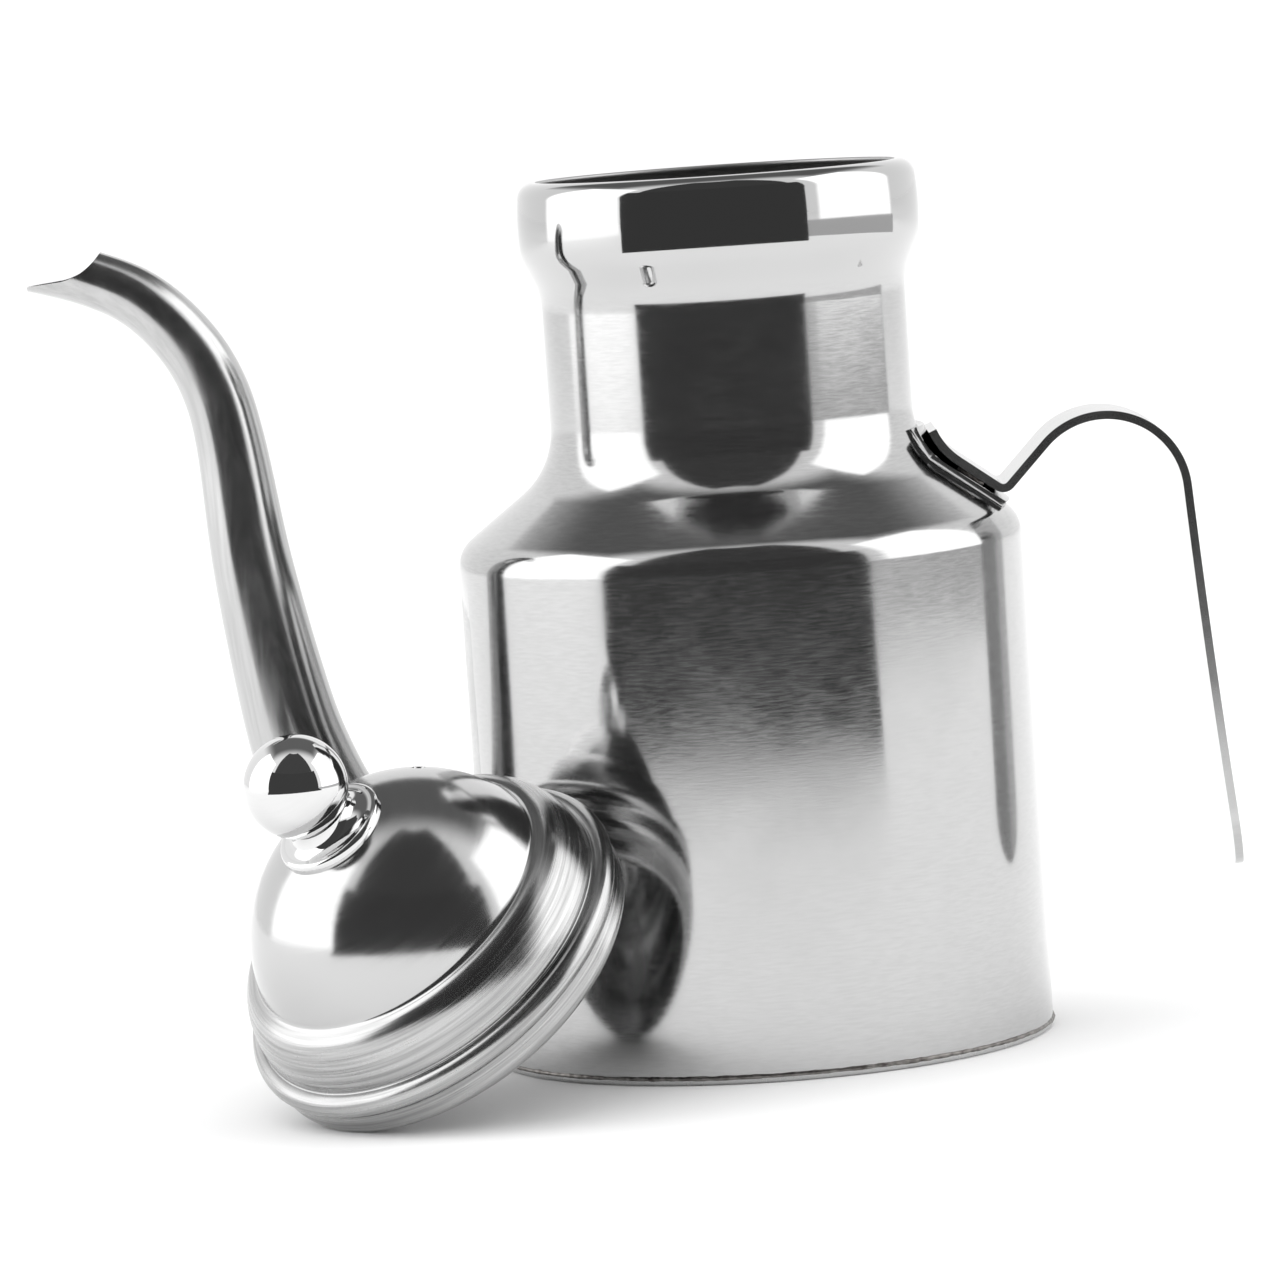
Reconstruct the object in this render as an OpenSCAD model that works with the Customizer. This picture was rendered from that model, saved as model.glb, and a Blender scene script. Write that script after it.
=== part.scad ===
// Gooseneck kettle with a strap handle, shown with its domed lid taken off
// and leaning against the body.
// The kettle's axis is Z, it stands on z = 0, the spout points along -X
// and the handle along +X. All sizes are in millimetres.

/* [Body] */
// Outer diameter of the straight wall
body_d = 95; // [80:1:120]
// Height of the straight wall
wall_h = 83.5; // [65:0.5:110]
// Thickness of the sheet steel
sheet = 0.8; // [0.6:0.1:1]
// Thickness of the welded base disc
base_t = 1.2; // [1:0.1:2]
// Slope of the shoulder, in degrees from level
shoulder_slope = 37; // [30:1:45]
// Radius of the bend between wall and shoulder
shoulder_r = 6; // [4:0.5:8]
// Radius of the hollow bend between shoulder and neck
throat_r = 14; // [10:0.5:16]
// Outer diameter of the neck
neck_d = 61; // [54:1:64]
// Height of the straight neck
neck_h = 22; // [16:0.5:30]
// Height of the flare above the neck
flare_h = 6.5; // [5:0.5:9]
// How far the collar stands out from the neck
flare_out = 2.9; // [2.4:0.1:4]
// Height of the collar, from the flare to the rim
collar_h = 12.7; // [11:0.1:16]
// Bulge of the collar band
collar_bulge = 0.25; // [0.1:0.05:0.5]
// Radius of the rim's outer edge
rim_r = 2.8; // [2:0.1:3]
// Width of the rim's flat top, where the lid rests
rim_flat = 0.8; // [0.6:0.1:1.2]

/* [Spout] */
// Outer diameter of the spout where it leaves the body
spout_root_d = 26; // [22:1:28]
// Height of the spout's centre line at the body
spout_root_z = 25; // [22:0.5:30]
// Outer diameter of the spout at its lip
spout_tip_d = 9.4; // [8.5:0.1:11]
// Thickness of the spout's wall
spout_wall = 0.7; // [0.5:0.1:0.9]
// How far the spout's top stands below the rim
spout_drop = 8; // [4:0.5:20]

/* [Handle] */
// Width of the strap
strap_w = 20; // [15:1:24]
// Thickness of the strap
strap_t = 1.4; // [1:0.1:2]
// Thickness of the saddle plate under the strap's foot
plate_t = 1.2; // [1:0.1:1.6]
// Radius of the strap's crest
crest_r = 13.6; // [11:0.2:16]
// Length of the grip below the crest
grip_l = 65.5; // [50:0.5:70]
// Lean of the grip away from the body, in degrees
grip_lean = 3.6; // [2:0.1:6]

/* [Lid] */
// How far the lid's foot band stands out past the collar
lid_proud = 0.1; // [-0.5:0.1:1]
// Play of the lid's plug in the mouth, on the radius
plug_play = 0.6; // [0.5:0.05:0.9]
// Depth of the plug below the rim
plug_depth = 2; // [1.5:0.1:2.4]
// Width of the swelling band around the dome
shelf_w = 5.4; // [4:0.1:6]
// Height of the dome above its foot
dome_h = 19.6; // [14:0.2:22]
// Diameter of the ball knob
ball_d = 16.8; // [13:0.2:18]
// Diameter of the steam hole
vent_d = 2.2; // [1.5:0.1:3]
// Tilt of the leaning lid, in degrees
lean_tilt = 41.5; // [40:0.5:47]
// Direction in which the lid lies, in degrees from +X
lean_side = -136; // [-145:1:-125]

/* [Hidden] */
$fn = 96;
overcut = 1;            // how far a cutting shape runs past what it cuts
rest_gap = 0.3;         // air between the leaning lid and the wall
arc_steps = 10;         // points along a short arc
dome_steps = 28;        // points along the dome

// Heights and radii of the body, from the base up
body_r = body_d / 2;
neck_r = neck_d / 2;
collar_r = neck_r + flare_out;
throat_x = neck_r + throat_r;                                   // centre of the hollow bend
wall_bend_x = body_r - shoulder_r;                              // centre of the wall's bend
shoulder_low = [wall_bend_x + shoulder_r * sin(shoulder_slope), wall_h + shoulder_r * cos(shoulder_slope)];
shoulder_high_x = throat_x - throat_r * sin(shoulder_slope);
shoulder_high = [shoulder_high_x, shoulder_low.y + (shoulder_low.x - shoulder_high_x) * tan(shoulder_slope)];
throat_z = shoulder_high.y + throat_r * cos(shoulder_slope);
neck_top = throat_z + neck_h;
collar_z = neck_top + flare_h;
rim_z = collar_z + collar_h;
mouth_r = collar_r - rim_r - rim_flat;

// A point of a circle in the XY plane, and the points along an arc of it
function on_circle(c, r, a) = [c.x + r * cos(a), c.y + r * sin(a)];
function arc(c, r, from, to, steps = arc_steps) =
    [for (i = [0 : steps]) on_circle(c, r, from + (to - from) * i / steps)];

// The hollow bend between shoulder and neck, raised from the shell by a distance; it has the same
// steps at each height, so that what lies on it fits
function hollow_bend(raised, steps = arc_steps) = [for (i = [0 : steps])
    on_circle([throat_x, throat_z], throat_r - raised, 270 - shoulder_slope - (90 - shoulder_slope) * i / arc_steps)];

// The shell's outline from the wall's foot to the rim, set in from the outside by a distance
function shell_line(inset) = concat(
    [[body_r - inset, base_t]],
    arc([wall_bend_x, wall_h], shoulder_r - inset, 0, 90 - shoulder_slope),
    hollow_bend(-inset),
    [[neck_r - inset, neck_top]],
    [for (a = [-1 : 0.25 : 1]) [collar_r - inset + collar_bulge * (1 - a * a),
                                collar_z + (collar_h - rim_r) * (a + 1) / 2]],
    arc([collar_r - rim_r, rim_z - rim_r], rim_r - inset, 0, 90));

function reversed(list) = [for (i = [len(list) - 1 : -1 : 0]) list[i]];

module body_shell() {
    color("gainsboro") difference() {
        rotate_extrude() polygon(concat(shell_line(0), arc([mouth_r + sheet / 2, rim_z - sheet / 2], sheet / 2, 90, 270),
                                        reversed(shell_line(sheet))));
        spout_root(spout_root_d / 2 - spout_wall);
    }
}

module base_disc() {
    edge_r = 0.6;
    color("silver") rotate_extrude()
        polygon(concat([[0, 0]], arc([body_r - edge_r, edge_r], edge_r, -90, 0), [[body_r, base_t], [0, base_t]]));
}

// A low bead of weld around the joint between base and wall
module base_weld() {
    bead_r = 0.45;
    color("gray") rotate_extrude() polygon(arc([body_r, base_t], bead_r, -90, 90));
}

// The spout's centre line: distance out from the body's axis, height and outer radius.
// The lower points go with the wall, and the upper ones with the rim.
spout_rise = 14;        // slope of the root, in degrees
spout_top = rim_z - spout_drop;
root_r = spout_root_d / 2;
tip_r = spout_tip_d / 2;
spout_inside = 10;      // how far the centre line starts inside the wall
spout_points = [
    [body_r - spout_inside, spout_root_z - spout_inside * tan(spout_rise), root_r],
    [body_r, spout_root_z, root_r],
    [body_r + 4, spout_root_z + 4 * tan(spout_rise), root_r - 0.1],
    [body_r + 9.5, spout_root_z + 3.3, root_r * 0.92],
    [body_r + 17, spout_root_z + 8.5, root_r * 0.81],
    [body_r + 24, spout_root_z + 17.5, root_r * 0.72],
    [body_r + 28.4, spout_root_z + 29, root_r * 0.645],
    [body_r + 31.2, spout_root_z + 41, root_r * 0.59],
    [body_r + 34.6, (spout_root_z + 41 + spout_top - 32) / 2, (root_r * 0.59 + tip_r * 1.24) / 2],
    [body_r + 36.8, spout_top - 32, tip_r * 1.24],
    [body_r + 39.1, spout_top - 22, tip_r * 1.18],
    [body_r + 43.4, spout_top - 14, tip_r * 1.12],
    [body_r + 50.2, spout_top - 7, tip_r * 1.06],
    [body_r + 59, spout_top - 2.6, tip_r],
    [body_r + 70.5, spout_top + 1, tip_r]];

// A smooth curve through the points: the place at t between the points b and c
function through(a, b, c, d, t) = 0.5 * ((2 * b) + (c - a) * t + (2 * a - 5 * b + 4 * c - d) * t * t
                                         + (3 * b - a - 3 * c + d) * t * t * t);
ring_steps = 3;         // rings for each stretch between two points
last = len(spout_points) - 1;
spout_line = concat(
    [for (i = [0 : last - 1], k = [0 : ring_steps - 1])
        through(spout_points[max(i - 1, 0)], spout_points[i], spout_points[i + 1],
                spout_points[min(i + 2, last)], k / ring_steps)],
    [spout_points[last]]);

// A solid bar swept along the spout's line, thinner than the spout by a distance
module spout_bar(thinner) {
    sides = 32;
    n = len(spout_line);
    points = [for (i = [0 : n - 1], s = [0 : sides - 1])
        let (p = spout_line[i],
             ahead = spout_line[min(i + 1, n - 1)] - spout_line[max(i - 1, 0)],
             slope = atan2(ahead.y, ahead.x),
             r = p.z - thinner,
             a = 360 * s / sides)
        [-p.x + r * cos(a) * sin(slope), r * sin(a), p.y + r * cos(a) * cos(slope)]];
    walls = [for (i = [0 : n - 2], s = [0 : sides - 1])
        let (t = (s + 1) % sides)
        [i * sides + s, (i + 1) * sides + s, (i + 1) * sides + t, i * sides + t]];
    ends = [[for (s = [0 : sides - 1]) s], [for (s = [sides - 1 : -1 : 0]) (n - 1) * sides + s]];
    polyhedron(points, concat(walls, ends));
}

// The straight line on which the spout leaves the body, as a round bar
module spout_root(r) {
    translate([-body_r, 0, spout_root_z]) rotate([0, -90 + spout_rise, 0])
        translate([0, 0, -spout_inside - overcut]) cylinder(r = r, h = spout_inside + 6 * overcut);
}

// What is cut from the spout's end: it leaves a short upper lip and a long lower beak
module spout_cut() {
    cut_w = spout_tip_d + 2 * overcut;
    beak_x = body_r + 68.8;
    lip_x = body_r + 55.3;
    hollow_r = 10.5;
    rotate([90, 0, 0]) linear_extrude(height = cut_w, center = true)
        polygon(concat(
            [[-lip_x + 6, spout_top + 10], [-lip_x + 0.7, spout_top + 2]],
            arc([-lip_x - hollow_r + 0.9, spout_top + hollow_r - 3.2], hollow_r, -18, -80),
            [[-beak_x, spout_top - 3.6], [-beak_x, spout_top - 10], [-beak_x - 10, spout_top - 10],
             [-beak_x - 10, spout_top + 10]]));
}

module spout() {
    color("gainsboro") difference() {
        spout_bar(0);
        spout_bar(spout_wall);
        cylinder(r = body_r, h = rim_z);
        spout_cut();
    }
}

// A thin weld collar that fills the corner between spout and body
module spout_weld() {
    bead = 1.1;
    color("gray") difference() {
        intersection() {
            spout_root(root_r + bead);
            cylinder(r = body_r + bead, h = rim_z);
        }
        cylinder(r = body_r, h = rim_z);
        spout_root(root_r);
    }
}

// The strap's centre line in the XZ plane: foot on the shoulder, sharp bend, rise, crest and grip
bend_r = 1.6;
rise_slope = 46;
foot_off = plate_t + strap_t / 2;                       // strap's middle above the shoulder
function above_shoulder(x) = shoulder_low.y + (shoulder_low.x - x) * tan(shoulder_slope)
                             + foot_off / cos(shoulder_slope);
foot_low_x = shoulder_low.x - 1.6;
foot_steps = 6;         // steps of the hollow bend that the foot's upper end follows
bend_c = [foot_low_x + bend_r * sin(shoulder_slope), above_shoulder(foot_low_x) + bend_r * cos(shoulder_slope)];
rise_l = 8.9;
bend_end = on_circle(bend_c, bend_r, -90 + rise_slope);
rise_end = bend_end + rise_l * [cos(rise_slope), sin(rise_slope)];
crest_c = rise_end + crest_r * [sin(rise_slope), -cos(rise_slope)];
grip_start = on_circle(crest_c, crest_r, grip_lean);
tail_l = 32;            // lower stretch of the grip, which leans out further
tail_lean = grip_lean + 2.2;
tail_start = grip_start + (grip_l - tail_l) * [sin(grip_lean), -cos(grip_lean)];
tail_end = tail_start + tail_l * [sin(tail_lean), -cos(tail_lean)];
strap_line = concat(
    reversed(hollow_bend(foot_off, foot_steps)),
    arc(bend_c, bend_r, -90 - shoulder_slope, -90 + rise_slope, 8),
    arc(crest_c, crest_r, 90 + rise_slope, grip_lean, 24),
    [tail_start, tail_end]);

// The strap's line moved sideways by a distance
function beside(line, off) = [for (i = [0 : len(line) - 1])
    let (ahead = line[min(i + 1, len(line) - 1)] - line[max(i - 1, 0)],
         side = [-ahead.y, ahead.x] / norm(ahead))
    line[i] + off * side];

module strap() {
    color("gainsboro") difference() {
        rotate([90, 0, 0]) linear_extrude(height = strap_w, center = true)
            polygon(concat(beside(strap_line, strap_t / 2), reversed(beside(strap_line, -strap_t / 2))));
        strap_tail_corners();
    }
}

// What is cut from the strap's free end to round it
module strap_tail_corners() {
    tail_r = strap_w / 2;
    translate([tail_end.x - tail_r, 0, tail_end.y + tail_r]) rotate([90, 0, 90])
        linear_extrude(height = 2 * tail_r) difference() {
            translate([-tail_r - overcut, -tail_r - overcut]) square([2 * (tail_r + overcut), tail_r + overcut]);
            circle(tail_r);
        }
}

// A saddle of sheet that follows the shoulder under the strap's foot
module strap_plate() {
    plate_low = shoulder_low.y + 0.2;
    color("silver") intersection() {
        rotate_extrude() polygon(concat(
            [shoulder_low], hollow_bend(0, foot_steps + 1), reversed(hollow_bend(plate_t, foot_steps + 1)),
            [shoulder_low + plate_t * [sin(shoulder_slope), cos(shoulder_slope)]]));
        translate([neck_r - 4, -strap_w / 2, plate_low]) cube([body_r, strap_w, throat_z]);
    }
}

// A weld tack in the wedge between the saddle plate and the strap's flat foot
module strap_tack(side) {
    tack_x = (foot_low_x + shoulder_high.x) / 2;
    tack_l = 5;
    tack_w = 1.6;
    reach = 1.2;        // how far the tack's middle lies inside the strap's edge
    plate_top = shoulder_low + plate_t * [sin(shoulder_slope), cos(shoulder_slope)];
    cone_h = 12;
    color("gray") difference() {
        translate([tack_x, side * (strap_w / 2 - reach), above_shoulder(tack_x)]) rotate([0, shoulder_slope, 0])
            translate([0, 0, -(tack_w + strap_t) / 2]) cube([tack_l, tack_w, tack_w], center = true);
        translate([0, 0, plate_top.y])
            cylinder(r1 = plate_top.x, r2 = plate_top.x - cone_h / tan(shoulder_slope), h = cone_h, $fn = 360);
    }
}

module strap_tack_front() {
    strap_tack(-1);
}

module strap_tack_back() {
    strap_tack(1);
}

// The lid in its own frame: its axis is Z and its foot rests on the rim at z = 0
lid_r = collar_r + lid_proud;
foot_r = 2.5;                                   // rounding of the lid's lower edge
foot_band_h = 4.8;                              // height of the plain band at the foot
bead_r = 2.1;                                   // bead above the foot band
bead_c = [lid_r - 1.2, foot_band_h + bead_r];
shelf_h = 9.4;                                  // height of the swelling band around the dome
shelf_z = bead_c.y + bead_r;                    // where that band starts
dome_foot_r = bead_c.x - 0.6 - shelf_w;
dome_z = shelf_z + shelf_h;                     // level of the dome's foot
dome_r = (dome_foot_r * dome_foot_r + dome_h * dome_h) / (2 * dome_h);
dome_c = dome_z + dome_h - dome_r;              // level of the dome's centre
dome_from = acos(dome_foot_r / dome_r);
screw_r = 2;
ball_r = ball_d / 2;
knob_gap = 0.1;                                 // play between the ball and its cup
ball_z = dome_z + dome_h + ball_r + 0.8;        // level of the ball's centre

// Where the lid's foot lies, so that its edge stands on z = 0 and leans on the wall
lean_out = body_r + rest_gap + (lid_r - foot_r) * cos(lean_tilt) - foot_r * sin(lean_tilt) + foot_r;
lean_up = (lid_r - foot_r) * sin(lean_tilt) - foot_r * cos(lean_tilt) + foot_r;

module leaning() {
    rotate([0, 0, lean_side]) translate([lean_out, 0, lean_up]) rotate([0, lean_tilt, 0]) children();
}

// The lid's outline from its foot to the screw hole, set in from the outside by a distance
function lid_line(inset) = concat(
    arc([lid_r - foot_r, foot_r], foot_r - inset, -90, 0, 6),
    arc(bead_c, bead_r - inset, -55, 100, 12),
    [for (a = [0 : 9 : 90]) [dome_foot_r + (shelf_w - inset) * cos(a), shelf_z + (shelf_h - inset) * sin(a)]],
    arc([0, dome_c], dome_r - inset, dome_from, acos(screw_r / (dome_r - inset)), dome_steps));

module lid_shell() {
    plug_r = mouth_r - plug_play;
    vent_lean = 44;     // angle of the steam hole from the lid's axis
    vent_turn = 176;    // its direction around the axis
    color("gainsboro") leaning() difference() {
        rotate_extrude() polygon(concat([[plug_r, 0]], lid_line(0), reversed(lid_line(sheet)), [[plug_r, sheet]]));
        translate([0, 0, dome_c]) rotate([0, vent_lean, vent_turn]) translate([0, 0, dome_r - 2 * sheet])
            cylinder(d = vent_d, h = 3 * sheet, $fn = 32);
    }
}

// The short ring that centres the lid in the mouth
module lid_plug() {
    plug_r = mouth_r - plug_play;
    ring_top = 4;
    chamfer = 0.3;
    color("silver") leaning() rotate_extrude() polygon([
        [plug_r - sheet, -plug_depth], [plug_r - chamfer, -plug_depth], [plug_r, chamfer - plug_depth],
        [plug_r, sheet], [plug_r + sheet, sheet], [plug_r + sheet, 2 * sheet], [plug_r, 2 * sheet],
        [plug_r, ring_top], [plug_r - sheet, ring_top]]);
}

// The spool under the ball: a flange on the dome and a waist with a cup for the ball
module knob_foot() {
    flange_r = 9.2;
    waist_r = 5.4;
    dome_top = dome_z + dome_h;
    hollow_r = 2.6;     // hollow bend between flange and waist
    flange_top = dome_top + 0.1;
    color("silver") leaning() difference() {
        rotate_extrude() polygon(concat(
            [[screw_r, dome_top - 3], [flange_r, dome_top - 3]],
            arc([flange_r - 0.8, flange_top - 0.8], 0.8, 0, 90, 5),
            arc([waist_r + hollow_r, flange_top + hollow_r], hollow_r, 270, 180, 8),
            [[screw_r, flange_top + hollow_r]]));
        translate([0, 0, dome_c]) sphere(dome_r);
        translate([0, 0, ball_z]) sphere(ball_r + knob_gap);
    }
}

module knob_ball() {
    color("gainsboro") leaning() translate([0, 0, ball_z]) sphere(ball_r);
}

// The screw that holds the knob from inside the dome
module knob_screw() {
    head_r = 3.8;
    head_h = 2;
    shank_top = ball_z - ball_r - 3 * knob_gap;
    head_z = dome_z + dome_h - sheet - washer_t - washer_sag;
    color("dimgray") leaning() {
        translate([0, 0, head_z - head_h]) cylinder(r = head_r, h = head_h);
        translate([0, 0, head_z]) cylinder(r = screw_r, h = shank_top - head_z);
    }
}

// The washer between the screw's head and the dome
washer_r = 5;
washer_t = 0.8;
washer_sag = dome_r - sheet - sqrt(pow(dome_r - sheet, 2) - pow(washer_r, 2));
module knob_washer() {
    top = dome_z + dome_h - sheet - washer_sag;
    color("silver") leaning() translate([0, 0, top - washer_t]) difference() {
        cylinder(r = washer_r, h = washer_t);
        translate([0, 0, -overcut]) cylinder(r = screw_r, h = washer_t + 2 * overcut);
    }
}

body_shell();
base_disc();
base_weld();
spout();
spout_weld();
strap();
strap_plate();
strap_tack_front();
strap_tack_back();
lid_shell();
lid_plug();
knob_foot();
knob_ball();
knob_screw();
knob_washer();
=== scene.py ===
import math

import bpy
from mathutils import Matrix, Vector


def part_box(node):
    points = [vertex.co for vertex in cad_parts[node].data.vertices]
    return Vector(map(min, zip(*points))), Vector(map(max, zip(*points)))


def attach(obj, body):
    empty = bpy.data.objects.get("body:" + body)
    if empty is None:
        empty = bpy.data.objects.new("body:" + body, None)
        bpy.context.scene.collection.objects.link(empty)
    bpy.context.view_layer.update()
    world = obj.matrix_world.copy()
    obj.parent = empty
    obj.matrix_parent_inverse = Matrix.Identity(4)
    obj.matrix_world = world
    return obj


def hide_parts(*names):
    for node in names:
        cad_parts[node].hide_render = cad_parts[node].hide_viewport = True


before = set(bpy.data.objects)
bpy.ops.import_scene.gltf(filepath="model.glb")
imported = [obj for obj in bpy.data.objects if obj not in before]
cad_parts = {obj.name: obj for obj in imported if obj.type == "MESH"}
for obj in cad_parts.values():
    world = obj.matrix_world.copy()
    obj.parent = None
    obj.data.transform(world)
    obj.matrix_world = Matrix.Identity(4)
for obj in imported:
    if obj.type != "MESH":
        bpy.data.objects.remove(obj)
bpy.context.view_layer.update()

bl_info = {
    "name": "Gooseneck kettle",
    "version": (1, 0, 0),
    "blender": (4, 5, 0),
    "location": "View3D > Sidebar > Kettle",
    "description": "Builds a stainless gooseneck kettle with its lid leaning beside it",
    "category": "Object",
}

MM = 0.001
ROUND_STEPS = 256           # faces around a turned piece
SPOOL_STEPS = 160           # the small spool under the knob needs fewer
SEAM_STEPS = 720            # and the thin seam around the base more, for its ripples
Z_AXIS = (0, 0, 1)


# Sizes and colours -------------------------------------------------------------------------

def length(name, description, mm):
    return bpy.props.FloatProperty(name=name, description=description, default=mm * MM, min=0,
                                   unit="LENGTH", precision=4)


def tilt(name, description, degrees):
    return bpy.props.FloatProperty(name=name, description=description, default=math.radians(degrees),
                                   unit="ROTATION")


def linear(code):
    """An sRGB hex colour as linear values, for a shader."""
    parts = [int(code[i:i + 2], 16) / 255 for i in (1, 3, 5)]
    return [p / 12.92 if p <= 0.04045 else ((p + 0.055) / 1.055) ** 2.4 for p in parts]


def paint(name, description, code):
    return bpy.props.FloatVectorProperty(name=name, description=description, default=linear(code),
                                         size=3, min=0, max=1, subtype="COLOR")


class BodySizes(bpy.types.PropertyGroup):
    body_d: length("Body diameter", "Outer diameter of the straight wall", 95)
    wall_h: length("Wall height", "Height of the straight wall", 83.5)
    sheet: length("Sheet", "Thickness of the sheet steel", 0.8)
    base_t: length("Base thickness", "Thickness of the welded base disc", 1.2)
    shoulder_slope: tilt("Shoulder slope", "Slope of the shoulder from level", 37)
    shoulder_r: length("Shoulder bend", "Radius of the bend between wall and shoulder", 6)
    throat_r: length("Throat bend", "Radius of the hollow bend between shoulder and neck", 14)
    neck_d: length("Neck diameter", "Outer diameter of the neck", 61)
    neck_h: length("Neck height", "Height of the straight neck", 22)
    flare_h: length("Flare height", "Height of the flare above the neck", 6.5)
    flare_out: length("Flare width", "How far the collar stands out from the neck", 2.9)
    collar_h: length("Collar height", "Height from the flare to the rim", 12.7)
    collar_bulge: length("Collar bulge", "Bulge of the collar band", 0.25)
    rim_r: length("Rim rounding", "Radius of the rim's outer edge", 2.8)
    rim_flat: length("Rim flat", "Width of the flat on which the lid rests", 0.8)


class SpoutSizes(bpy.types.PropertyGroup):
    root_d: length("Root diameter", "Outer diameter where the spout leaves the body", 26)
    root_z: length("Root height", "Height of the centre line at the body", 25)
    tip_d: length("Lip diameter", "Outer diameter at the lip", 9.4)
    wall: length("Wall", "Thickness of the spout's wall", 0.7)
    drop: length("Drop", "How far the spout's top stands below the rim", 8)
    rise: tilt("Root rise", "Slope of the spout's root", 14)


class HandleSizes(bpy.types.PropertyGroup):
    strap_w: length("Strap width", "Width of the strap", 20)
    strap_t: length("Strap thickness", "Thickness of the strap", 1.4)
    plate_t: length("Saddle thickness", "Thickness of the saddle under the strap's foot", 1.2)
    crest_r: length("Crest radius", "Radius of the strap's crest", 13.6)
    grip_l: length("Grip length", "Length of the grip below the crest", 65.5)
    grip_lean: tilt("Grip lean", "Lean of the grip away from the body", 3.6)


class LidSizes(bpy.types.PropertyGroup):
    proud: length("Foot overhang", "How far the lid's foot stands out past the collar", 0.1)
    plug_play: length("Plug play", "Play of the plug in the mouth, on the radius", 0.6)
    plug_depth: length("Plug depth", "Depth of the plug below the rim", 2)
    shelf_w: length("Band width", "Width of the swelling band around the dome", 5.4)
    shelf_h: length("Band height", "Height of the swelling band", 9.4)
    dome_h: length("Dome height", "Height of the dome above its foot", 19.6)
    ball_d: length("Ball diameter", "Diameter of the ball knob", 16.8)
    vent_d: length("Steam hole", "Diameter of the steam hole", 2.2)
    lean_tilt: tilt("Lean", "Tilt of the leaning lid", 41.5)
    lean_side: tilt("Side", "Direction in which the lid lies, from +X", -136)


class Finishes(bpy.types.PropertyGroup):
    steel: paint("Polished steel", "Colour of the polished stainless steel", "#c2c2c2")
    satin: paint("Satin steel", "Colour of the satin-ground stainless steel", "#c3c3c3")
    seam: paint("Weld", "Colour of a brushed weld bead", "#8f8c89")
    scorch: paint("Heat tint", "Colour of the oxide beside a weld", "#5a5653")
    knob: paint("Knob steel", "Colour of the turned and buffed knob", "#dcdcdc")
    bolt: paint("Fastener", "Colour of the screw and washer", "#b9b8b5")
    floor: paint("Floor", "Colour of the studio floor", "#fbfbfb")


class StageSettings(bpy.types.PropertyGroup):
    eye_out: length("Camera distance", "Distance of the camera in front of the kettle's axis", 1230.663)
    eye_left: length("Camera offset", "How far the camera stands to the spout's side", 17.682)
    eye_up: length("Camera height", "Height of the camera above the floor", 185.241)
    look_down: tilt("Look down", "How far the camera looks down", 5.39)
    roll: tilt("Roll", "How far the camera is turned about its own axis", 3.96)
    lens: bpy.props.FloatProperty(name="Lens", description="Focal length in millimetres", default=205.65,
                                  min=1, unit="CAMERA")


GROUPS = {"kettle_body": BodySizes, "kettle_spout": SpoutSizes, "kettle_handle": HandleSizes,
          "kettle_lid": LidSizes, "kettle_finish": Finishes, "kettle_stage": StageSettings}


def settings(name):
    return getattr(bpy.context.scene, name)


# Outlines: lists of (distance from the axis, height) in metres ------------------------------

def arc(centre, r, start, end, steps=16):
    """Points along an arc; the angles are in radians from +X."""
    return [(centre[0] + r * math.cos(start + (end - start) * i / steps),
             centre[1] + r * math.sin(start + (end - start) * i / steps)) for i in range(steps + 1)]


def softened(points, at, reach, steps=8):
    """The outline with the corner at index `at` rounded over `reach` to each side."""
    a, b, c = (Vector(points[i]) for i in (at - 1, at, at + 1))
    start, end = b + (a - b).normalized() * reach, b + (c - b).normalized() * reach
    curve = []
    for i in range(steps + 1):
        t = i / steps
        curve.append(tuple(start * (1 - t) ** 2 + b * 2 * t * (1 - t) + end * t ** 2))
    return points[:at] + curve + points[at + 1:]


def beside(points, off):
    """The outline moved sideways by a distance, to the left of its direction."""
    moved = []
    for i, p in enumerate(points):
        ahead = Vector(points[min(i + 1, len(points) - 1)]) - Vector(points[max(i - 1, 0)])
        side = Vector((-ahead.y, ahead.x)).normalized()
        moved.append(tuple(Vector(p) + side * off))
    return moved


def eased(points, lead=0.15 * MM, shortest=1.2 * MM):
    """The outline with a point close to both ends of each long stretch, so that a bend's shading
    doesn't run out into the flat beside it."""
    result = [points[0]]
    for a, b in zip(points, points[1:]):
        step = Vector(b) - Vector(a)
        if step.length > shortest:
            near = step.normalized() * lead
            result += [tuple(Vector(a) + near), tuple(Vector(b) - near)]
        result.append(b)
    return result


class Body:
    """Heights and radii that follow from the body's sizes."""

    def __init__(self):
        s = settings("kettle_body")
        self.s = s
        self.r, self.neck_r = s.body_d / 2, s.neck_d / 2
        self.collar_r = self.neck_r + s.flare_out
        slope = s.shoulder_slope
        self.slope = slope
        self.bend = (self.r - s.shoulder_r, s.wall_h)
        self.low = (self.bend[0] + s.shoulder_r * math.sin(slope),
                    s.wall_h + s.shoulder_r * math.cos(slope))
        throat_x = self.neck_r + s.throat_r
        high_x = throat_x - s.throat_r * math.sin(slope)
        self.high = (high_x, self.low[1] + (self.low[0] - high_x) * math.tan(slope))
        self.throat = (throat_x, self.high[1] + s.throat_r * math.cos(slope))
        self.neck_top = self.throat[1] + s.neck_h
        self.collar_z = self.neck_top + s.flare_h
        self.rim_z = self.collar_z + s.collar_h
        self.mouth_r = self.collar_r - s.rim_r - s.rim_flat

    def hollow_bend(self, raised=0.0, share=1.0, steps=24):
        """The bend between shoulder and neck, or its lower share, raised from the shell."""
        start = math.radians(270) - self.slope
        return arc(self.throat, self.s.throat_r - raised, start,
                   start - (math.radians(90) - self.slope) * share, steps)


# Tools for modelling ------------------------------------------------------------------------

def edit(mode="EDIT"):
    bpy.ops.object.mode_set(mode=mode)


def named(name):
    obj = bpy.context.object
    obj.name = obj.data.name = name
    return obj


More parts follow.
